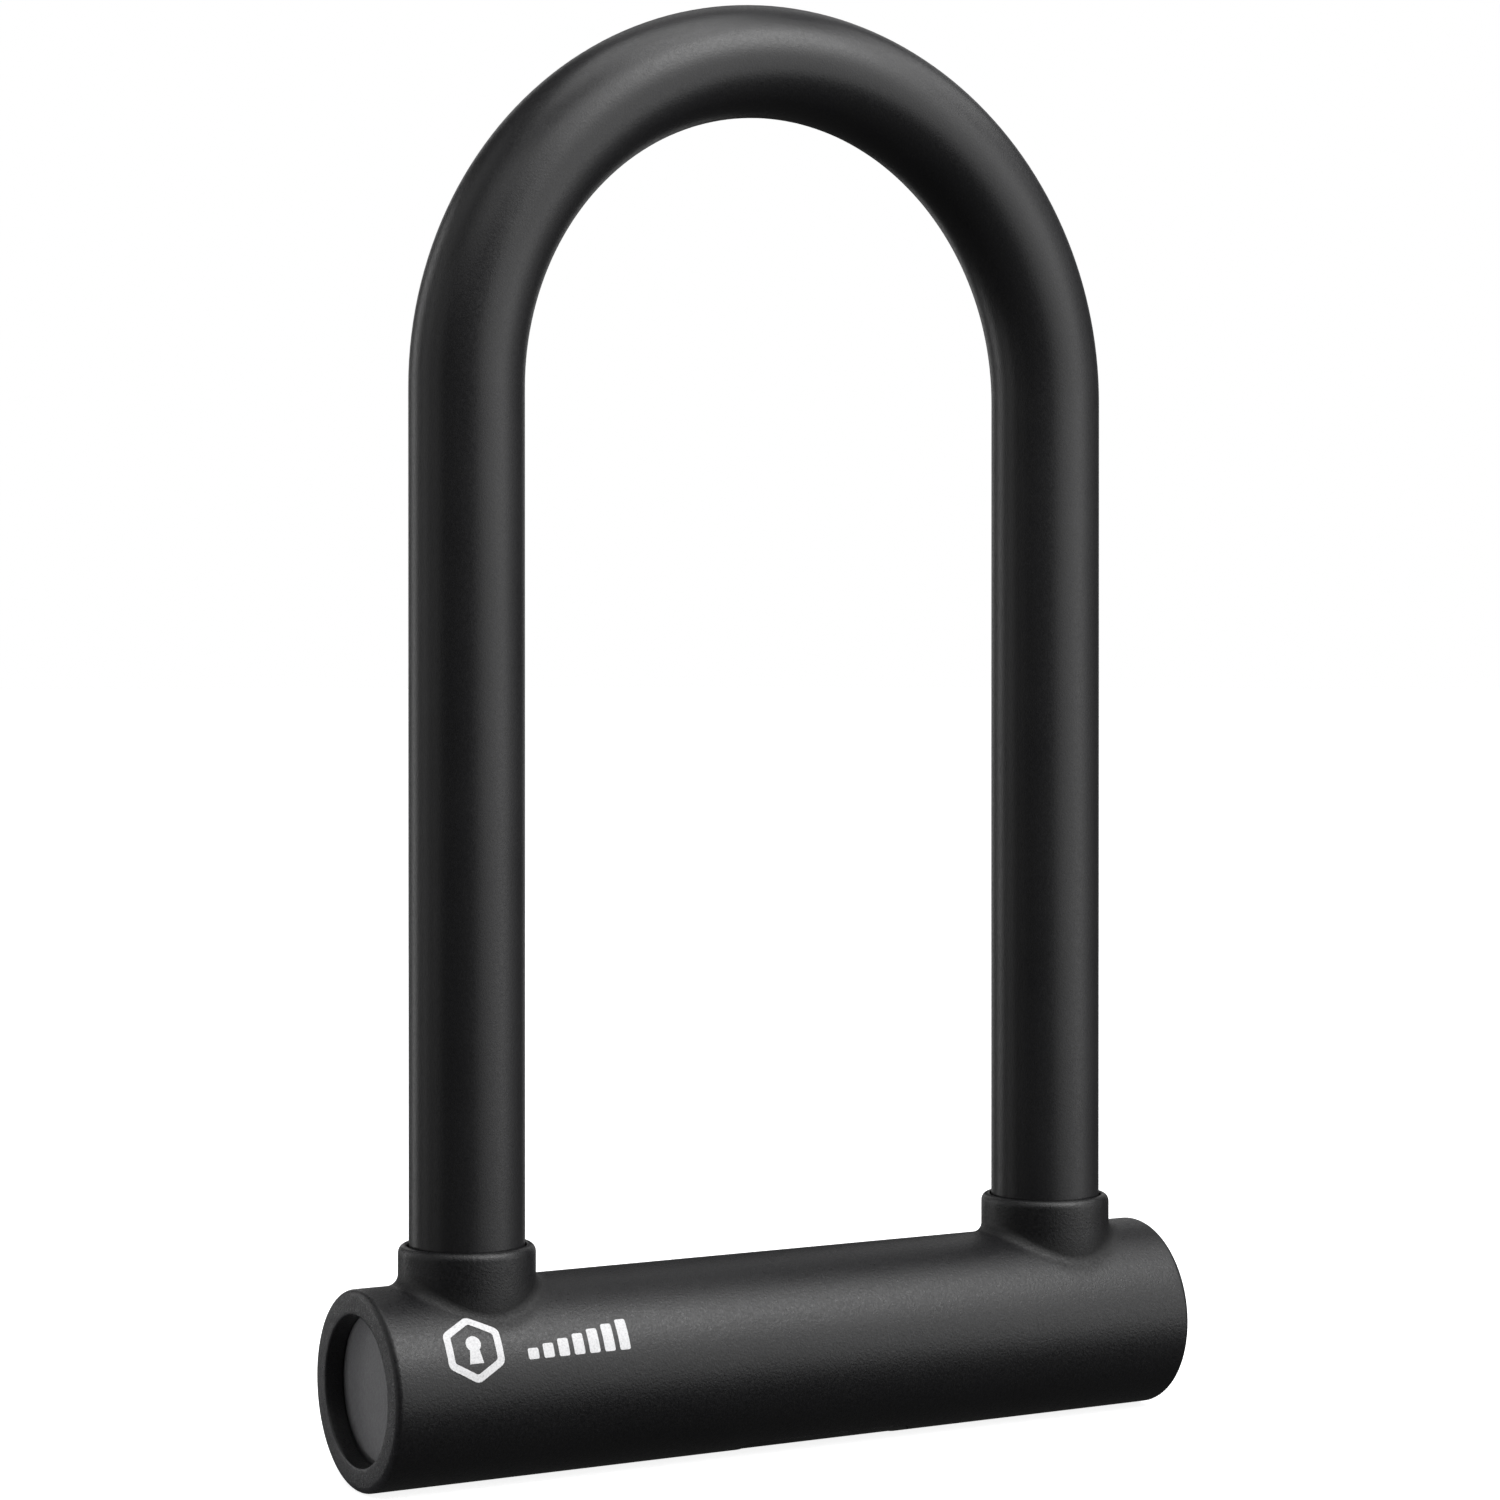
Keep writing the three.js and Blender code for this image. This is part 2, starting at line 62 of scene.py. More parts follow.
# ---------------------------------------------------------------- dimensions
AX = 18.0  # height of the crossbar's axis
BAR_R, BAR_HALF, END_ROUND = 18.0, 84.5, 1.2
LIP_X = 81.1  # inner side of the cover's end lip
RECESS_R, COVER_IN = 13.45, 16.15
LEG_X, ARCH_Z, SLEEVE_R, SLEEVE_IN = 62.59, 179.04, 10.5, 8.3
SLEEVE_END = 17.8
COLLAR_R, BORE_R, COLLAR_TOP = 12.45, 10.8, 24.6
FILLET = 2.3
SUR_X0, SUR_X1, SUR_HALF, SUR_CORNER = -11.3, 27.3, 9.2, 5.0
PORT_R = 5.6
COVER_DARK, COVER_LIGHT, COVER_ROUGH = (0.0050, 0.0050, 0.0057), (0.0150, 0.0150, 0.0160), 0.36


# -------------------------------------------------------------------- camera
def make_camera():
    data = bpy.data.cameras.new("camera")
    cam = bpy.data.objects.new("camera", data)
    scene.collection.objects.link(cam)
    data.sensor_width = 36.0
    data.lens = 96.68
    data.shift_x = 0.0004
    data.shift_y = -0.0900
    data.clip_start, data.clip_end = 0.01, 50
    cam.location = (-0.3774, -0.6563, 0.15998)
    cam.rotation_euler = (math.radians(90 - 0.313), 0, math.radians(-29.64))
    scene.camera = cam
    return cam


make_camera()
scene.view_settings.view_transform = "Standard"


# ----------------------------------------------------------------- materials
class Nodes:
    """A material's node tree, built top down with short calls."""

    def __init__(self, name):
        self.mat = bpy.data.materials.new(name)
        self.mat.use_nodes = True
        self.t = self.mat.node_tree
        self.t.nodes.clear()
        self.out = self.t.nodes.new("ShaderNodeOutputMaterial")
        self.b = self.t.nodes.new("ShaderNodeBsdfPrincipled")
        self.t.links.new(self.b.outputs[0], self.out.inputs[0])
        self.coord = self.t.nodes.new("ShaderNodeTexCoord").outputs["Object"]

    def put(self, socket, value):
        if hasattr(value, "is_linked"):
            self.t.links.new(value, socket)
        else:
            socket.default_value = value

    def node(self, kind, out=0, **inputs):
        n = self.t.nodes.new(kind)
        for k, v in inputs.items():
            key = int(k[1:]) if k[0] == "_" and k[1:].isdigit() else k
            if isinstance(key, str) and not any(key == s.name for s in n.inputs):
                setattr(n, key, v)
            else:
                self.put(n.inputs[key], v)
        return n.outputs[out]

    def noise(self, scale, detail=2.0, rough=0.5, vector=None, out=0):
        return self.node(
            "ShaderNodeTexNoise",
            out,
            Vector=vector or self.coord,
            Scale=scale,
            Detail=detail,
            Roughness=rough,
        )

    def cells(self, scale, vector=None):
        return self.node("ShaderNodeTexVoronoi", 0, Vector=vector or self.coord, Scale=scale)

    def stretch(self, x, y, z):
        return self.node(
            "ShaderNodeMapping", 0, Vector=self.coord, Scale=(x, y, z)
        )

    def ramp(self, value, stops):
        n = self.t.nodes.new("ShaderNodeValToRGB")
        self.put(n.inputs[0], value)
        e = n.color_ramp.elements
        while len(e) < len(stops):
            e.new(0.5)
        for el, (p, c) in zip(e, stops):
            el.position = p
            el.color = (*c, 1) if isinstance(c, tuple) else (c, c, c, 1)
        return n.outputs[0]

    def math(self, op, a, b=0.0):
        n = self.t.nodes.new("ShaderNodeMath")
        n.operation = op
        self.put(n.inputs[0], a)
        self.put(n.inputs[1], b)
        return n.outputs[0]

    def bump(self, height, distance, strength=1.0, normal=None):
        n = self.t.nodes.new("ShaderNodeBump")
        n.inputs["Strength"].default_value = strength
        n.inputs["Distance"].default_value = distance
        self.put(n.inputs["Height"], height)
        if normal is not None:
            self.put(n.inputs["Normal"], normal)
        return n.outputs[0]

    def set(self, **inputs):
        for k, v in inputs.items():
            self.put(self.b.inputs[k.replace("_", " ")], v)
        return self.mat


def coated(name, dark, light, rough, grain, fine, speck=0.5):
    """Near-black soft-touch finish: sand-like grain in the colour, the gloss and the relief."""
    n = Nodes(name)
    sand = n.noise(fine, 3.0, 0.65)
    cloud = n.noise(38.0, 3.0, 0.5)
    mixed = n.math("ADD", n.math("MULTIPLY", sand, speck), n.math("MULTIPLY", cloud, 1 - speck))
    colour = n.ramp(mixed, [(0.36, dark), (0.64, light)])
    gloss = n.ramp(n.noise(fine * 0.6, 2.0, 0.6), [(0.3, rough - 0.06), (0.7, rough + 0.07)])
    big = n.bump(n.noise(110.0, 2.0, 0.5), 0.00004, 0.6)
    relief = n.bump(sand, grain, 1.0, big)
    return n.set(Base_Color=colour, Roughness=gloss, Normal=relief, Metallic=0.0)


def cover_skin_with_crease_shade():
    """The cover's moulded skin: sand-grained, and rougher in the crease round each collar, where painted shade also
    darkens its colour.
    """
    n = Nodes("cover_grained")
    sand = n.noise(2100.0, 3.0, 0.7)
    cloud = n.noise(38.0, 3.0, 0.5)
    mixed = n.math("ADD", n.math("MULTIPLY", sand, 0.8), n.math("MULTIPLY", cloud, 0.2))
    colour = n.ramp(mixed, [(0.34, COVER_DARK), (0.66, COVER_LIGHT)])
    x, y, z = (n.node("ShaderNodeSeparateXYZ", i, Vector=n.coord) for i in range(3))
    from_leg = n.math("SUBTRACT", n.math("ABSOLUTE", x), LEG_X * MM)
    leg_dist = n.math("SQRT", n.math("ADD", n.math("POWER", from_leg, 2.0), n.math("POWER", y, 2.0)))
    height = n.math("SUBTRACT", z, AX * MM)
    bar_dist = n.math("SQRT", n.math("ADD", n.math("POWER", height, 2.0), n.math("POWER", y, 2.0)))

    def fall(value, near, far):
        m = n.t.nodes.new("ShaderNodeMapRange")
        m.interpolation_type = "SMOOTHSTEP"
        n.put(m.inputs[0], value)
        for i, v in enumerate((near * MM, far * MM, 1.0, 0.0)):
            m.inputs[i + 1].default_value = v
        return m.outputs[0]

    above = n.math("GREATER_THAN", height, 0.0)
    crease = n.math(
        "MULTIPLY",
        above,
        n.math(
            "MULTIPLY",
            fall(leg_dist, COLLAR_R + 0.7, COLLAR_R + FILLET + 0.6),
            fall(bar_dist, BAR_R + 0.7, BAR_R + FILLET + 1.6),
        ),
    )
    # painted shade: the colour is made up to 0.55 darker in the crease between each collar and the bar
    shade = n.math("SUBTRACT", 1.0, n.math("MULTIPLY", crease, 0.55))
    shade_darkening = n.t.nodes.new("ShaderNodeMix")
    shade_darkening.data_type = "RGBA"
    shade_darkening.blend_type = "MULTIPLY"
    shade_darkening.inputs["Factor"].default_value = 1.0
    n.put(shade_darkening.inputs[6], colour)
    n.put(shade_darkening.inputs[7], shade)
    gloss = n.ramp(n.noise(1900.0, 2.0, 0.6), [(0.3, COVER_ROUGH - 0.10), (0.7, COVER_ROUGH + 0.11)])
    rough = n.math("ADD", gloss, n.math("MULTIPLY", crease, 0.20))
    big = n.bump(n.noise(110.0, 2.0, 0.5), 0.00004, 0.6)
    return n.set(Base_Color=shade_darkening.outputs[2], Roughness=rough, Normal=n.bump(sand, 0.00008, 1.0, big), Metallic=0.0)


def ink():
    """Pad-printed white ink, a little thin over the grain below."""
    n = Nodes("white_ink")
    sand = n.noise(2700.0, 3.0, 0.7)
    colour = n.ramp(sand, [(0.30, (0.66, 0.66, 0.67)), (0.55, (0.88, 0.88, 0.89))])
    gloss = n.ramp(n.noise(900.0, 2.0, 0.5), [(0.3, 0.42), (0.7, 0.55)])
    return n.set(Base_Color=colour, Roughness=gloss, Normal=n.bump(sand, 0.00002, 0.8), Metallic=0.0)


def metal(name, dark, light, rough, across=(1, 1, 1), scratch=900.0, relief=0.00001):
    """Machined or cast metal: fine brush marks along one direction and slow tarnish clouds."""
    n = Nodes(name)
    marks = n.noise(scratch, 4.0, 0.6, n.stretch(*across))
    cloud = n.noise(90.0, 3.0, 0.55)
    colour = n.ramp(cloud, [(0.35, dark), (0.7, light)])
    gloss = n.ramp(marks, [(0.25, rough - 0.08), (0.75, rough + 0.12)])
    return n.set(
        Base_Color=colour,
        Metallic=1.0,
        Roughness=gloss,
        Normal=n.bump(marks, relief, 0.8),
    )


M = {
    "sleeve": coated("sleeve_softtouch", (0.0115, 0.0115, 0.0125), (0.0185, 0.0185, 0.0195), 0.34, 0.00003, 2600.0),
    "cover": cover_skin_with_crease_shade(),
    "ink": ink(),
    # the end plugs' grey is several times lighter than the cover's: painted light that brightens the recessed disc at
    # each bar end
    "plug": coated("end_plug_grained", (0.048, 0.048, 0.050), (0.064, 0.064, 0.066), 0.47, 0.00004, 2200.0, 0.6),
    "nylon": coated("nylon_satin", (0.012, 0.012, 0.013), (0.020, 0.020, 0.021), 0.32, 0.00002, 2600.0),
    "rubber": coated("pad_rubber", (0.012, 0.012, 0.012), (0.022, 0.022, 0.022), 0.8, 0.00005, 1500.0),
    "hard": metal("hardened_steel", (0.62, 0.63, 0.65), (0.72, 0.73, 0.75), 0.38, (1, 1, 0.2)),
    "steel": metal("plated_steel", (0.52, 0.53, 0.55), (0.66, 0.67, 0.69), 0.28, (0.1, 1, 1)),
    "zinc": metal("die_cast_zinc", (0.40, 0.41, 0.43), (0.55, 0.56, 0.57), 0.48, (1, 1, 1), 500.0, 0.00003),
    "brass": metal("turned_brass", (0.52, 0.37, 0.13), (0.70, 0.52, 0.22), 0.26, (1, 1, 6)),
}


# ----------------------------------------------------------------- mesh tools
def obj_from(name, verts, faces):
    me = bpy.data.meshes.new(name)
    me.from_pydata([(x * MM, y * MM, (z + AX) * MM) for x, y, z in verts], [], faces)
    me.update()
    o = bpy.data.objects.new(name, me)
    scene.collection.objects.link(o)
    return o


def tidy(o, merge=1e-6):
    bm = bmesh.new()
    bm.from_mesh(o.data)
    bmesh.ops.remove_doubles(bm, verts=bm.verts, dist=merge)
    bmesh.ops.dissolve_degenerate(bm, edges=bm.edges, dist=merge)
    bmesh.ops.recalc_face_normals(bm, faces=bm.faces)
    if bm.calc_volume(signed=True) < 0:
        bmesh.ops.reverse_faces(bm, faces=bm.faces)
    bm.to_mesh(o.data)
    bm.free()


def smooth(o, degrees=32):
    o.data.polygons.foreach_set("use_smooth", [True] * len(o.data.polygons))
    o.data.set_sharp_from_angle(angle=math.radians(degrees))


def finish_piece(o, mat, body, node=None, bevel=None, degrees=32, segments=2, clean=False):
    o.data.materials.clear()
    o.data.materials.append(mat)
    smooth(o, degrees)
    if bevel:
        m = o.modifiers.new("edges", "BEVEL")
        m.width = bevel * MM
        m.segments = segments
        m.limit_method = "ANGLE"
        m.angle_limit = math.radians(35)
        m.use_clamp_overlap = True
        if clean:  # the bevel is made now, so that its slivers can be merged away
            dg = bpy.context.evaluated_depsgraph_get()
            me = bpy.data.meshes.new_from_object(o.evaluated_get(dg))
            o.modifiers.clear()
            old, o.data = o.data, me
            bpy.data.meshes.remove(old)
            tidy(o)
            smooth(o, degrees)
        else:
            m.miter_outer = "MITER_ARC"
    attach(o, body)
    if node:
        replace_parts(o, *([node] if isinstance(node, str) else node))
    return o


def cylinder(axis, r, a, b, sides, at=(0, 0)):
    """A plain cylinder for cutting, along one axis from a to b."""
    vs, fs = [], []
    for h in (a, b):
        for i in range(sides):
            t = 2 * math.pi * i / sides
            u, v = r * math.cos(t), r * math.sin(t)
            if axis == "z":
                vs.append((at[0] + u, at[1] + v, h))
            elif axis == "y":
                vs.append((at[0] + u, h, at[1] + v))
            else:
                vs.append((h, at[0] + u, at[1] + v))
    fs.append(tuple(reversed(range(sides))))
    fs.append(tuple(range(sides, 2 * sides)))
    for i in range(sides):
        j = (i + 1) % sides
        fs.append((i, j, sides + j, sides + i))
    o = obj_from("cutter", vs, fs)
    tidy(o)
    return o


def block(x0, x1, y0, y1, z0, z1):
    vs = [(x, y, z) for z in (z0, z1) for y in (y0, y1) for x in (x0, x1)]
    fs = [(0, 2, 3, 1), (4, 5, 7, 6), (0, 1, 5, 4), (2, 6, 7, 3), (0, 4, 6, 2), (1, 3, 7, 5)]
    o = obj_from("cutter", vs, fs)
    tidy(o)
    return o


def rounded_outline(x0, x1, half, corner, n=14):
    pts = []
    for cx, cy, a0 in (
        (x1 - corner, -half + corner, -90),
        (x1 - corner, half - corner, 0),
        (x0 + corner, half - corner, 90),
        (x0 + corner, -half + corner, 180),
    ):
        for i in range(n + 1):
            a = math.radians(a0 + 90 * i / n)
            pts.append((cx + corner * math.cos(a), cy + corner * math.sin(a)))
    return pts


def prism(outline, z0, z1):
    n = len(outline)
    vs = [(x, y, z0) for x, y in outline] + [(x, y, z1) for x, y in outline]
    fs = [tuple(reversed(range(n))), tuple(range(n, 2 * n))]
    fs += [(i, (i + 1) % n, n + (i + 1) % n, n + i) for i in range(n)]
    o = obj_from("cutter", vs, fs)
    tidy(o)
    return o


def under_wall(r0, r1, half, x0, x1, n=48):
    """A strip of cylindrical wall under the crossbar's axis."""
    a0, a1 = math.asin(half / r0), math.asin(half / r1)
    ring = [(r0 * math.sin(a), -r0 * math.cos(a)) for a in (-a0 + 2 * a0 * i / n for i in range(n + 1))]
    ring += [(r1 * math.sin(a), -r1 * math.cos(a)) for a in (a1 - 2 * a1 * i / n for i in range(n + 1))]
    k = len(ring)
    vs = [(x0, y, z) for y, z in ring] + [(x1, y, z) for y, z in ring]
    fs = [tuple(reversed(range(k))), tuple(range(k, 2 * k))]
    fs += [(i, (i + 1) % k, k + (i + 1) % k, k + i) for i in range(k)]
    o = obj_from("cutter", vs, fs)
    tidy(o)
    return o


def lathe(profile, sides, axis="z", closed=False, at=(0, 0, 0)):
    """Turns (radius, height) points about an axis. Points on the axis close the ends."""
    vs, fs, rows = [], [], []
    for r, h in profile:
        if r < 1e-9:
            rows.append([len(vs)])
            vs.append((0, 0, h))
        else:
            rows.append(list(range(len(vs), len(vs) + sides)))
            vs += [
                (r * math.cos(2 * math.pi * i / sides), r * math.sin(2 * math.pi * i / sides), h)
                for i in range(sides)
            ]
    pairs = list(zip(rows, rows[1:])) + ([(rows[-1], rows[0])] if closed else [])
    for p, q in pairs:
        for i in range(sides):
            j = (i + 1) % sides
            if len(p) == 1 and len(q) == 1:
                continue
            if len(p) == 1:
                fs.append((p[0], q[i], q[j]))
            elif len(q) == 1:
                fs.append((p[i], p[j], q[0]))
            else:
                fs.append((p[i], p[j], q[j], q[i]))
    if axis == "x":
        vs = [(z, x, y) for x, y, z in vs]
    if axis == "y":
        vs = [(y, z, x) for x, y, z in vs]
    vs = [(x + at[0], y + at[1], z + at[2]) for x, y, z in vs]
    o = obj_from("turned", vs, fs)
    tidy(o)
    return o


def csg(name, base, *steps):
    """base, then each ("-" | "+" | "&", solid) in turn. The solids are used up."""
    ops = {"-": "DIFFERENCE", "+": "UNION", "&": "INTERSECT"}
    for op, other in steps:
        m = base.modifiers.new("b", "BOOLEAN")
        m.operation = ops[op]
        m.solver = "EXACT"
        m.object = other
        dg = bpy.context.evaluated_depsgraph_get()
        me = bpy.data.meshes.new_from_object(base.evaluated_get(dg))
        base.modifiers.clear()
        old = base.data
        base.data = me
        bpy.data.meshes.remove(old)
        gone = other.data
        bpy.data.objects.remove(other)
        bpy.data.meshes.remove(gone)
    base.name = base.data.name = name
    tidy(base, 2e-6)
    return base


# --------------------------------------------------------------- outer cover
def ray_to_outline(cx, cy, dx, dy, x0, x1, half, corner):
    """Where a ray from (cx, cy) leaves a rounded rectangle."""

    def inside(x, y):
        qx = max(x0 + corner - x, x - (x1 - corner), 0)
        qy = max(abs(y) - (half - corner), 0)
        return qx * qx + qy * qy <= corner * corner and x0 <= x <= x1 and abs(y) <= half

    lo, hi = 0.0, 60.0
    n = math.hypot(dx, dy)
    dx, dy = dx / n, dy / n
    for _ in range(48):
        m = (lo + hi) / 2
        if inside(cx + dx * m, cy + dy * m):
            lo = m
        else:
            hi = m
    return cx + dx * lo, cy + dy * lo


def build_cover():
    verts, faces = [], []

    def add(x, y, z):
        verts.append((x, y, z))
        return len(verts) - 1

    NT = 128

    def line(a, b, n):
        return [a + (b - a) * i / n for i in range(n)]

    hw = 17.0  # half the patch round a collar, along X
    straight = BAR_HALF - END_ROUND
    xs = (
        line(-straight, -LEG_X - hw, 2)
        + line(-LEG_X - hw, -LEG_X + hw, 20)
        + line(-LEG_X + hw, -16.5, 14)
        + line(-16.5, 32.5, 30)
        + line(32.5, LEG_X - hw, 8)
        + line(LEG_X - hw, LEG_X + hw, 20)
        + line(LEG_X + hw, straight, 2)
        + [straight]
    )
    NX = len(xs)
    theta = [2 * math.pi * j / NT for j in range(NT)]  # from the top, towards +Y

    def col(x):
        return min(range(NX), key=lambda i: abs(xs[i] - x))

    patches = []
    for cx in (-LEG_X, LEG_X):
        patches.append(("collar", cx, 0.0, col(cx - hw), col(cx + hw), -21, 21))
    patches.append(("key", (SUR_X0 + SUR_X1) / 2, 0.0, col(-16.5), col(32.5), 64 - 15, 64 + 15))

    def in_patch(i, j):
        for _, _, _, i0, i1, j0, j1 in patches:
            jj = j
            for k in (j, j - NT):
                if j0 <= k < j1 and i0 <= i < i1:
                    return True
        return False

    grids = {}
    for tag, r, flip in (("out", BAR_R, False), ("in", COVER_IN, True)):
        g = [[add(x if tag == "out" else max(-LIP_X, min(LIP_X, x * LIP_X / straight if abs(x) > LEG_X + hw + 0.01 else x)), r * math.sin(t), r * math.cos(t)) for t in theta] for x in xs]
        grids[tag] = g
        for i in range(NX - 1):
            for j in range(NT):
                if in_patch(i, j):
                    continue
                q = (g[i][j], g[i + 1][j], g[i + 1][(j + 1) % NT], g[i][(j + 1) % NT])
                faces.append(tuple(reversed(q)) if flip else q)

    def perimeter(i0, i1, j0, j1):
        """Grid places round a patch, in order."""
        out = [(i, j0) for i in range(i0, i1)]
        out += [(i1, j) for j in range(j0, j1)]
        out += [(i, j1) for i in range(i1, i0, -1)]
        out += [(i0, j) for j in range(j1, j0, -1)]
        return out

    def bridge(a, b):
        n = len(a)
        for k in range(n):
            faces.append((a[k], a[(k + 1) % n], b[(k + 1) % n], b[k]))

    for kind, cx, cy, i0, i1, j0, j1 in patches:
        per = perimeter(i0, i1, j0, j1)
        up = 1.0 if kind == "collar" else -1.0
        n = len(per)
        outer = [grids["out"][i][j % NT] for i, j in per]
        inner = [grids["in"][i][j % NT] for i, j in per]
        pxy = [(verts[v][0], verts[v][1]) for v in outer]
        qxy = [(verts[v][0], verts[v][1]) for v in inner]
        rings = []

        def on_bar(x, y, r=BAR_R, sink=0.0):
            return up * (math.sqrt(max(r * r - y * y, 0)) - sink)

        if kind == "collar":
            phi = [math.atan2(y - cy, x - cx) for x, y in pxy]
            prof = []  # for each direction, the fillet's outer foot
            for p in phi:
                s = math.sin(p)
                cosa = (COLLAR_R / BAR_R) * s * s
                t = FILLET * math.tan(math.acos(cosa) / 2)
                th = math.asin(COLLAR_R * s / BAR_R)
                slope = -math.tan(th) * s
                prof.append((t, t / math.sqrt(1 + slope * slope)))
            foot = [(cx + (COLLAR_R + w) * math.cos(p), (COLLAR_R + w) * math.sin(p)) for p, (t, w) in zip(phi, prof)]
        else:
            ray = [ray_to_outline(cx, cy, x - cx, y - cy, SUR_X0 - 0.2, SUR_X1 + 0.2, SUR_HALF + 0.2, SUR_CORNER + 0.2) for x, y in pxy]
            foot = []
            for (x, y), (px, py) in zip(ray, pxy):
                d = math.hypot(x - cx, y - cy)
                foot.append((x + (x - cx) / d * 0.3, y + (y - cy) / d * 0.3))
        steps = 7
        for s in range(1, steps + 1):
            f = s / steps
            f = f * f * (3 - 2 * f) * 0.4 + f * 0.6
            rings.append([
                add(px + (fx - px) * f, py + (fy - py) * f, on_bar(0, py + (fy - py) * f))
                for (px, py), (fx, fy) in zip(pxy, foot)
            ])
        if kind == "collar":
            for s in range(1, 9):  # the fillet
                f = s / 8
                row = []
                for p, (t, w) in zip(phi, prof):
                    yc = COLLAR_R * math.sin(p)
                    zc = math.sqrt(BAR_R**2 - yc * yc)
                    yo = (COLLAR_R + w) * math.sin(p)
                    zo = math.sqrt(BAR_R**2 - yo * yo)
                    k = 0.7071
                    wt = (1 - f) ** 2 + 2 * k * f * (1 - f) + f * f
                    rho = ((1 - f) ** 2 * (COLLAR_R + w) + 2 * k * f * (1 - f) * COLLAR_R + f * f * COLLAR_R) / wt
                    z = ((1 - f) ** 2 * zo + 2 * k * f * (1 - f) * zc + f * f * (zc + t)) / wt
                    row.append(add(cx + rho * math.cos(p), rho * math.sin(p), z))
                rings.append(row)
            top = COLLAR_TOP
            wall = [(COLLAR_R, None, f) for f in (0.25, 0.5, 0.75, 1.0)]
            for _, _, f in wall:
                row = []
                for p, (t, w) in zip(phi, prof):
                    zc = math.sqrt(BAR_R**2 - (COLLAR_R * math.sin(p)) ** 2) + t
                    row.append(add(cx + COLLAR_R * math.cos(p), COLLAR_R * math.sin(p), zc + (top - 1.45 - zc) * f))
                rings.append(row)
            lip = []
            for s in range(1, 9):
                a = math.radians(90 * s / 8)
                lip.append((COLLAR_R - 1.2 + 1.2 * math.cos(a), top - 1.45 + 1.45 * math.sin(a)))
            for s in range(0, 4):
                a = math.radians(90 + 90 * s / 3)
                lip.append((BORE_R + 0.3 + 0.3 * math.cos(a), top - 0.3 + 0.3 * math.sin(a)))
            lip += [(BORE_R, top - 3), (BORE_R, top - 6)]
            for rho, z in lip:
                rings.append([add(cx + rho * math.cos(p), rho * math.sin(p), z) for p in phi])
            end = [add(cx + BORE_R * math.cos(p), BORE_R * math.sin(p), on_bar(0, BORE_R * math.sin(p), COVER_IN)) for p in phi]
        else:
            for off, sink in ((0.15, 0.045), (0.045, 0.15), (0.0, 0.32)):
                row = []
                for x, y in ray:
                    d = math.hypot(x - cx, y - cy)
                    xx, yy = x + (x - cx) / d * off, y + (y - cy) / d * off
                    row.append(add(xx, yy, on_bar(xx, yy, BAR_R, sink)))
                rings.append(row)
            end = [add(x, y, on_bar(x, y, COVER_IN)) for x, y in ray]
        rings.append(end)
        chain = [outer] + rings
        for a, b in zip(chain, chain[1:]):
            bridge(b, a) if kind == "x" else bridge(a, b)
        # from the edge of the inner opening out to the inner grid
        ends_xy = [(verts[v][0], verts[v][1]) for v in end]
        prev = end
        for s in (0.34, 0.67):
            row = []
            for (ex, ey), (qx, qy) in zip(ends_xy, qxy):
                x, y = ex + (qx - ex) * s, ey + (qy - ey) * s
                row.append(add(x, y, on_bar(x, y, COVER_IN)))
            bridge(prev, row)
            prev = row
        bridge(prev, inner)

    for sgn, i in ((-1, 0), (1, NX - 1)):
        prof = []
        for s in range(1, 9):
            a = math.radians(90 * s / 8)
            prof.append((BAR_R - END_ROUND + END_ROUND * math.cos(a), straight + END_ROUND * math.sin(a)))
        prof += [(15.4, BAR_HALF), (14.4, BAR_HALF)]
        for s in range(0, 5):
            a = math.radians(90 + 90 * s / 4)
            prof.append((RECESS_R + 0.35 + 0.35 * math.cos(a), BAR_HALF - 0.35 + 0.35 * math.sin(a)))
        prof += [(RECESS_R, 83.2), (RECESS_R, 81.9), (RECESS_R, LIP_X), (14.8, LIP_X)]
        prev = grids["out"][i]
        for r, x in prof:
            row = [add(sgn * x, r * math.sin(t), r * math.cos(t)) for t in theta]
            bridge(prev, row)
            prev = row
        bridge(prev, grids["in"][i])
    o = obj_from("cover_shell", verts, faces)
    tidy(o, 1e-7)
    return o


cover = build_cover()
finish_piece(cover, M["cover"], "crossbar", "outer_cover", degrees=50)


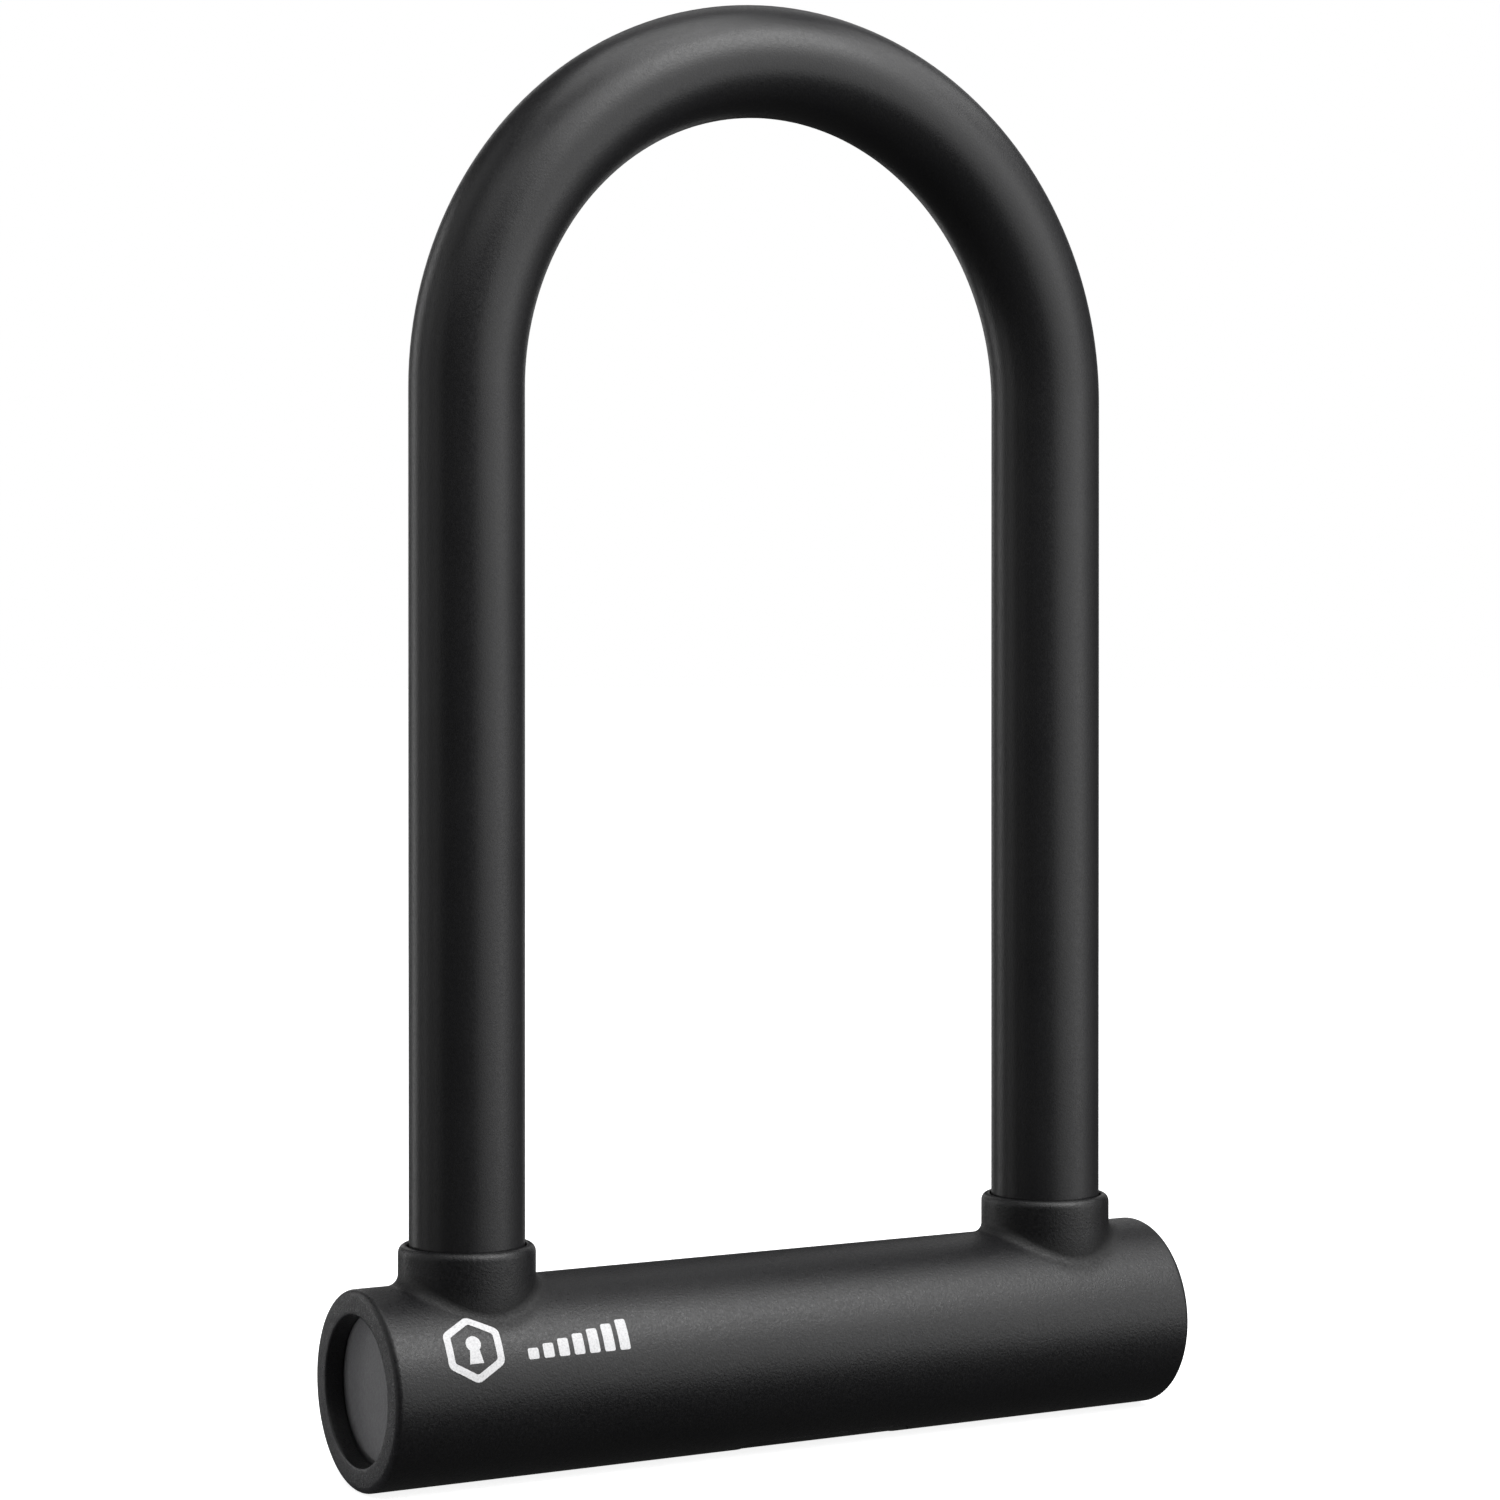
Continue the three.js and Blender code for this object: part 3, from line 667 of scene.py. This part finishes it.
# -------------------------------------------------------------- printed mark
def printed_mark():
    """A plain keyhole in a hexagon and a row of rising blocks, printed on the bar.

    u runs along the bar and v round it, upwards from the bar's front.
    """
    verts, faces = [], []
    skin, root = BAR_R + 0.04, BAR_R - 0.04

    def point(u, v, r):
        a = v / BAR_R
        verts.append((u, -r * math.cos(a), r * math.sin(a)))

    def ribbon(sections, closed):
        """sections are ((u, v), (u, v)): the two edges of a thin layer of ink."""
        base, n = len(verts), len(sections)
        for p, q in sections:
            point(*p, skin)
            point(*q, skin)
            point(*q, root)
            point(*p, root)
        for k in range(n if closed else n - 1):
            a, b = base + 4 * k, base + 4 * ((k + 1) % n)
            for i in range(4):
                j = (i + 1) % 4
                faces.append((a + i, a + j, b + j, b + i))
        if not closed:
            a, b = base, base + 4 * (n - 1)
            faces.append((a + 3, a + 2, a + 1, a))
            faces.append((b, b + 1, b + 2, b + 3))

    def hexagon(r, corner, t):
        """The t-th part of the way round a hexagon with rounded corners."""
        side = t * 6
        k, f = int(side) % 6, side - int(side)
        inner = r - corner / math.cos(math.radians(30))
        c0 = math.radians(60 * k + 30)
        c1 = math.radians(60 * k + 90)
        cut = 0.18
        if cut <= f <= 1 - cut:
            g = (f - cut) / (1 - 2 * cut)
            m = math.radians(60 * k + 60)
            ox, oy = corner * math.cos(m), corner * math.sin(m)
            return (
                inner * (math.cos(c0) + (math.cos(c1) - math.cos(c0)) * g) + ox,
                inner * (math.sin(c0) + (math.sin(c1) - math.sin(c0)) * g) + oy,
            )
        if f < cut:
            a = math.radians(60 * k + 30 + 30 * f / cut)
            return inner * math.cos(c0) + corner * math.cos(a), inner * math.sin(c0) + corner * math.sin(a)
        a = math.radians(60 * k + 60 + 30 * (f - 1 + cut) / cut)
        return inner * math.cos(c1) + corner * math.cos(a), inner * math.sin(c1) + corner * math.sin(a)

    cu, cv = MARK_U, MARK_V
    ring = []
    for i in range(6 * 22):
        t = i / (6 * 22)
        (a, b), (c, d) = hexagon(6.3, 1.6, t), hexagon(4.75, 0.7, t)
        ring.append(((cu + a, cv + b), (cu + c, cv + d)))
    ribbon(ring, True)
    rows = []
    for i in range(13):  # the keyhole's round part and its skirt
        a = math.radians(90 - 140 * i / 12)
        w = 1.45 * math.cos(a)
        rows.append(((cu - max(w, 0.12), cv + 0.85 + 1.45 * math.sin(a)), (cu + max(w, 0.12), cv + 0.85 + 1.45 * math.sin(a))))
    for i in range(1, 8):
        f = i / 7
        v = rows[12][0][1] * (1 - f) + (cv - 2.75) * f
        w = 0.93 + 0.42 * f
        rows.append(((cu - w, v), (cu + w, v)))
    ribbon(rows, False)
    for i in range(7):  # rising blocks
        u0 = MARK_U + 10.2 + 3.05 * i
        low, high = cv - 3.0, cv - 3.0 + 2.0 + 0.62 * i
        c, block_rows = 0.35, []
        for k in range(4):
            a = math.radians(90 * k / 3)
            block_rows.append((low + c * (1 - math.cos(a)), c * (1 - math.sin(a))))
        for k in range(1, 8):
            block_rows.append((low + c + (high - low - 2 * c) * k / 8, 0.0))
        for k in range(4):
            a = math.radians(90 * k / 3)
            block_rows.append((high - c + c * math.sin(a), c * (1 - math.cos(a))))
        ribbon([((u0 + w, v), (u0 + 2.1 - w, v)) for v, w in block_rows], False)
    o = obj_from("printed_mark", verts, faces)
    tidy(o, 1e-8)
    return o


MARK_U, MARK_V = -68.7, 9.2
finish_piece(printed_mark(), M["ink"], "crossbar", degrees=30)


# -------------------------------------------------------------------- shackle
def path_frames(end_z, leg_step, arch_steps, extra=()):
    """Stations down one leg, over the arch and down the other: (x, z, angle)."""
    legs = sorted({end_z, ARCH_Z, *extra} | {end_z + leg_step * i for i in range(1, int((ARCH_Z - end_z) / leg_step))})
    out = [(-LEG_X, z, math.pi) for z in legs]
    out += [
        (LEG_X * math.cos(a), ARCH_Z + LEG_X * math.sin(a), a)
        for a in (math.pi - math.pi * i / arch_steps for i in range(1, arch_steps))
    ]
    out += [(LEG_X, z, 0.0) for z in reversed(legs)]
    return out


def tube_rings(frames, sides, radius_of):
    vs = []
    for k, (x, z, a) in enumerate(frames):
        r = radius_of(k, z, x)
        for i in range(sides):
            t = 2 * math.pi * i / sides
            u, v = r * math.cos(t), r * math.sin(t)
            vs.append((x + u * math.cos(a), v, z + u * math.sin(a)))
    return vs


def swept_tube(name, end_z, r_out, r_in, sides, arch, edge=0.5):
    """A tube, or a solid rod if r_in is None, with rounded ends."""
    ends = [end_z + edge * (1 - math.cos(math.radians(a))) for a in (22.5, 45, 67.5, 90)]
    frames = path_frames(end_z, 8.0, arch, ends)

    def shrink(z):
        d = end_z + edge - z
        return edge - math.sqrt(max(edge * edge - d * d, 0)) if d > 0 else 0.0

    def straight(x):
        return abs(abs(x) - LEG_X) < 1e-6

    vs = tube_rings(frames, sides, lambda k, z, x: r_out - (shrink(z) if straight(x) else 0))
    n, fs = len(frames), []
    for k in range(n - 1):
        for i in range(sides):
            j = (i + 1) % sides
            fs.append((k * sides + i, k * sides + j, (k + 1) * sides + j, (k + 1) * sides + i))
    if r_in is None:
        fs.append(tuple(range(sides)))
        fs.append(tuple((n - 1) * sides + i for i in range(sides)))
    else:
        base = len(vs)
        vs += tube_rings(frames, sides, lambda k, z, x: r_in + (shrink(z) * 0.5 if straight(x) else 0))
        for k in range(n - 1):
            for i in range(sides):
                j = (i + 1) % sides
                fs.append((base + k * sides + j, base + k * sides + i, base + (k + 1) * sides + i, base + (k + 1) * sides + j))
        for k in (0, n - 1):
            for i in range(sides):
                j = (i + 1) % sides
                fs.append((k * sides + i, k * sides + j, base + k * sides + j, base + k * sides + i))
    o = obj_from(name, vs, fs)
    tidy(o, 1e-7)
    return o


sleeve = swept_tube("sleeve_skin", SLEEVE_END, SLEEVE_R, SLEEVE_IN, 72, 96)
finish_piece(sleeve, M["sleeve"], "shackle", "shackle_sleeve", degrees=50)

shackle_rod = swept_tube("shackle_rod", -9.0, 8.0, None, 64, 80, edge=1.4)
steps = []
for s in (-1, 1):
    flat, far = s * (LEG_X - 2.6), s * (LEG_X - 9.5)
    steps.append(("-", block(min(flat, far), max(flat, far), -9, 9, -1.45, 7.45)))
shackle_rod = csg("shackle_rod", shackle_rod, *steps)
finish_piece(shackle_rod, M["hard"], "shackle", "shackle_bar", bevel=0.25)

# ------------------------------------------------------------------ end plugs
for s, side in ((1, "right"), (-1, "left")):
    prof = [(0, 71.6), (10.6, 71.6), (11.7, 72.7), (11.7, 78.3), (15.6, 78.3)]  # body and flange
    prof += [(15.5, 80.6), (15.2, 80.8), (12.0, 80.8), (8.0, 80.8), (4.0, 80.8), (0, 80.8)]
    o = lathe([(r, s * h) for r, h in prof], 96, "x")
    o = csg("end_cap_" + side, o, ("-", cylinder("y", 1.7, -20, 20, 24, (s * 75, 0))))
    finish_piece(o, M["plug"], "crossbar", "end_plug_" + side)

    # guide bush and rim of the tube's hole, seen when the shackle is lifted
    o = lathe(
        [(8.4, 6.0), (10.55, 6.0), (10.55, 17.1), (10.25, 17.4), (8.9, 17.4), (8.4, 16.9)],
        80, closed=True, at=(s * LEG_X, 0, 0),
    )
    o = csg("bush_" + side, o, ("-", cylinder("x", 16.3, 40 * s, 84 * s, 128)))
    finish_piece(o, M["nylon"], "crossbar", "guide_bush_" + side, degrees=30)

# ----------------------------------------------------------------- steel tube
tube = lathe(
    [(12, -78), (15.5, -78), (16, -77.5), (16, 77.5), (15.5, 78), (12, 78)], 128, "x", closed=True
)
tube = csg(
    "hardened_tube", tube,
    ("-", cylinder("z", 8.4, 0, 20, 64, (-LEG_X, 0))),
    ("-", cylinder("z", 8.4, 0, 20, 64, (LEG_X, 0))),
    ("-", cylinder("z", 8.3, -20, 0, 64)),
    *[("-", cylinder("y", 1.7, -20, 20, 20, (s * 75, 0))) for s in (-1, 1)],
    *[("-", cylinder("y", 1.7, -20, 20, 20, (s * 40, -6.5))) for s in (-1, 1)],
)
finish_piece(tube, M["hard"], "crossbar", "crossbar_tube", bevel=0.2)

# ------------------------------------------------------------- keyhole pieces
surround = csg(
    "keyhole_bezel",
    under_wall(16.3, 18.0, 12, SUR_X0 - 1, SUR_X1 + 1, 96),
    ("&", prism(rounded_outline(SUR_X0, SUR_X1, SUR_HALF, SUR_CORNER), -20, -8)),
    ("-", cylinder("z", PORT_R, -20, -10, 96)),
    ("-", under_wall(17.0, 17.55, 7.1, SUR_X0 + 2, SUR_X1 - 2, 64)),
    ("-", under_wall(17.5, 19, 6.2, SUR_X0 + 2.12, SUR_X1 - 2.12, 64)),
)
finish_piece(surround, M["nylon"], "crossbar", "keyhole_surround", bevel=0.12, clean=True)

slider = csg(
    "dust_slider",
    under_wall(17.1, 17.45, 6.95, 8.6, 25.0, 64),
    ("+", under_wall(17.4, 17.88, 6.0, 8.75, 24.85, 60)),
    *[("-", under_wall(17.62, 18.5, 4.6, x - 0.55, x + 0.55, 48)) for x in (13.8, 15.8, 17.8, 19.8)],
)
finish_piece(slider, M["nylon"], "dust_cover", "dust_cover", bevel=0.06, clean=True)

shell = lathe(
    [(5.2, -13.45), (5.35, -13.6), (7.7, -13.6), (8, -13.3), (8, 0.8), (6.4, 0.8), (6.4, 0.65),
     (6.95, 0.65), (6.95, -0.3), (6.4, -0.3), (6.4, -12.9), (5.2, -12.9)],
    96, closed=True,
)
shell = csg(
    "cylinder_body", shell,
    ("-", block(-7.2, -6, -1.05, 1.05, -11.8, -1.9)),
    ("-", cylinder("y", 1.6, -9, -7.4, 24, (0, -3))),
)
finish_piece(shell, M["brass"], "crossbar", "cylinder_shell")

face = lathe([(0, -12.8), (5.7, -12.8), (6.1, -12.55), (6.1, -11.8), (0, -11.8)], 96)
face = csg("keyway_face", face, ("-", block(-4.1, 4.1, -1.5, 1.5, -20, -8)))
finish_piece(face, M["steel"], "plug", "front_disc", bevel=0.10, clean=True)

# ---------------------------------------------- inner pieces kept from the CAD
def keep(node, mat, bevel=0.12):
    o = frame["nodes"][node]
    o.data.materials.clear()
    o.data.materials.append(mat)
    for p in o.data.polygons:
        p.material_index = 0
    if bevel:
        m = o.modifiers.new("edges", "BEVEL")
        m.width = bevel * MM
        m.segments = 2
        m.limit_method = "ANGLE"
        m.angle_limit = math.radians(40)


replaced = {n for o in bpy.data.objects if "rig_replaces" in o for n in o["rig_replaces"]}
LOOK = (
    ("barrel_lower", "zinc"), ("barrel_upper", "zinc"), ("barrel_screw", "steel"),
    ("barrel_pin", "steel"), ("end_plug_pin", "steel"), ("foot_pad", "rubber"),
    ("bolt_", "hard"), ("disc_carrier", "brass"), ("code_disc", "brass"),
    ("disc_spacer", "steel"), ("sidebar", "steel"), ("drive_cam", "steel"),
    ("retaining_ring", "steel"), ("cylinder_set_screw", "steel"),
)
for name in frame["nodes"]:
    if name in replaced:
        continue
    mat = next((M[m] for start, m in LOOK if name.startswith(start)), M["steel"])
    keep(name, mat)


# --------------------------------------------------------------- studio stage
def area(name, at, aim, size, power, colour=(1, 1, 1)):
    d = bpy.data.lights.new(name, "AREA")
    d.shape = "RECTANGLE"
    d.size, d.size_y = size
    d.energy = power
    d.color = colour
    o = bpy.data.objects.new(name, d)
    scene.collection.objects.link(o)
    o.location = at
    o.rotation_euler = (Vector(aim) - Vector(at)).to_track_quat("-Z", "Y").to_euler()
    return o


def polar(azimuth, elevation, distance, centre=(0, 0, 0.13)):
    """A point round the lock; azimuth is counted from the camera's side, positive to its right."""
    view = math.radians(-29.64)
    a = math.radians(azimuth)
    e = math.radians(elevation)
    # from the lock towards the camera, turned to the right by the azimuth
    bx, by = -math.sin(-view), -math.cos(view)
    x = bx * math.cos(a) - by * math.sin(a)
    y = bx * math.sin(a) + by * math.cos(a)
    return Vector(centre) + Vector((x * math.cos(e), y * math.cos(e), math.sin(e))) * distance


MID = (0, 0, 0.13)
SIDE, UPPER = (0.3, 0.9), (0.5, 0.4)
# azimuth, elevation, distance, size, watts: strips round the lock and panels above it
LIGHTS = {
    "side_-120": (-120, 8, 1.0, SIDE, 1.25),
    "side_-85": (-85, 8, 1.0, SIDE, 0.60),
    "side_-60": (-60, 8, 1.0, SIDE, 0.42),
    "side_30": (30, 8, 1.0, SIDE, 0.55),
    "side_45": (45, 8, 1.0, SIDE, 0.83),
    "side_60": (60, 8, 1.0, SIDE, 1.01),
    "side_75": (75, 8, 1.0, SIDE, 1.43),
    "side_90": (90, 8, 1.0, SIDE, 0.75),
    "side_110": (110, 8, 1.0, SIDE, 0.20),
    "back_165": (165, 10, 1.0, SIDE, 0.35),
    "back_-160": (-160, 10, 1.0, SIDE, 0.5),
    "middle_50": (50, 31, 1.0, (0.5, 0.22), 0.62),
    "upper_-90": (-90, 45, 1.0, UPPER, 0.26),
    "upper_-30": (-30, 45, 1.0, UPPER, 0.52),
    "upper_0": (0, 45, 1.0, UPPER, 0.50),
    "upper_30": (30, 45, 1.0, UPPER, 1.27),
    "upper_60": (60, 45, 1.0, UPPER, 3.18),
    "upper_90": (90, 45, 1.0, UPPER, 1.08),
    "upper_120": (120, 45, 1.0, UPPER, 0.85),
    "upper_180": (180, 45, 1.0, UPPER, 0.30),
    "high_60": (60, 65, 1.0, UPPER, 1.87),
    "top": (0, 89, 1.0, (0.6, 0.6), 2.6),
}
for name, (az, el, dist, size, power) in LIGHTS.items():
    area(name, polar(az, el, dist), MID, size, power)


def spot(name, at, aim, degrees, radius, power):
    """A narrow spot that adds no glint of its own to the rounded edges."""
    d = bpy.data.lights.new(name, "SPOT")
    d.energy, d.spot_size, d.spot_blend, d.shadow_soft_size = power, math.radians(degrees), 0.35, radius
    o = bpy.data.objects.new(name, d)
    scene.collection.objects.link(o)
    o.location = at
    o.rotation_euler = (Vector(aim) - Vector(at)).to_track_quat("-Z", "Y").to_euler()
    o.visible_glossy = False


# four narrow spots in a fan fill the recessed face at the bar's left end, and reach nothing above it
END_AIM = Vector((-0.0845, 0.0, 0.0145))
for i, (angle, power) in enumerate(((-6, 2.2), (8, 3.0), (20, 3.0), (32, 3.3))):
    a, e = math.radians(angle), math.radians(-13)
    away = Vector((-math.cos(a) * math.cos(e), math.sin(a) * math.cos(e), math.sin(e)))
    spot("bar_end_%d" % i, END_AIM + away * 0.52, END_AIM, 4.6, 0.005, power)

floor_mesh = bpy.data.meshes.new("floor")
n = 96
floor_mesh.from_pydata(
    [(6 * math.cos(2 * math.pi * i / n), 6 * math.sin(2 * math.pi * i / n), -0.00005) for i in range(n)],
    [],
    [tuple(range(n))],
)
floor = bpy.data.objects.new("floor", floor_mesh)
scene.collection.objects.link(floor)
fm = bpy.data.materials.new("floor")
fm.use_nodes = True
fb = fm.node_tree.nodes["Principled BSDF"]
fb.inputs["Base Color"].default_value = (0.85, 0.85, 0.86, 1)
fb.inputs["Roughness"].default_value = 0.9
fb.inputs["Specular IOR Level"].default_value = 0.0
fb.inputs["Emission Color"].default_value = (1, 1, 1, 1)
# the glow rises away from the lock, so that the floor and the backdrop are one white
ft = fm.node_tree
fco = ft.nodes.new("ShaderNodeTexCoord")
flen = ft.nodes.new("ShaderNodeVectorMath")
flen.operation = "LENGTH"
fmap = ft.nodes.new("ShaderNodeMapRange")
fmap.interpolation_type = "SMOOTHSTEP"
for i, v in enumerate((0.12, 0.75, 0.86, 1.0)):
    fmap.inputs[i + 1].default_value = v
ft.links.new(fco.outputs["Object"], flen.inputs[0])
ft.links.new(flen.outputs["Value"], fmap.inputs[0])
ft.links.new(fmap.outputs[0], fb.inputs["Emission Strength"])
floor_mesh.materials.append(fm)
floor.visible_diffuse = False
floor.visible_glossy = False
floor.visible_shadow = False

world = bpy.data.worlds.new("studio")
scene.world = world
world.use_nodes = True
wt = world.node_tree
wt.nodes.clear()
wout = wt.nodes.new("ShaderNodeOutputWorld")
seen = wt.nodes.new("ShaderNodeBackground")
seen.inputs[0].default_value = (1, 1, 1, 1)
seen.inputs[1].default_value = 1.0
lit = wt.nodes.new("ShaderNodeBackground")
lit.inputs[0].default_value = (1, 1, 1, 1)
lit.inputs[1].default_value = 0.045
pick = wt.nodes.new("ShaderNodeMixShader")
path = wt.nodes.new("ShaderNodeLightPath")
wt.links.new(path.outputs["Is Camera Ray"], pick.inputs[0])
wt.links.new(lit.outputs[0], pick.inputs[1])
wt.links.new(seen.outputs[0], pick.inputs[2])
wt.links.new(pick.outputs[0], wout.inputs[0])
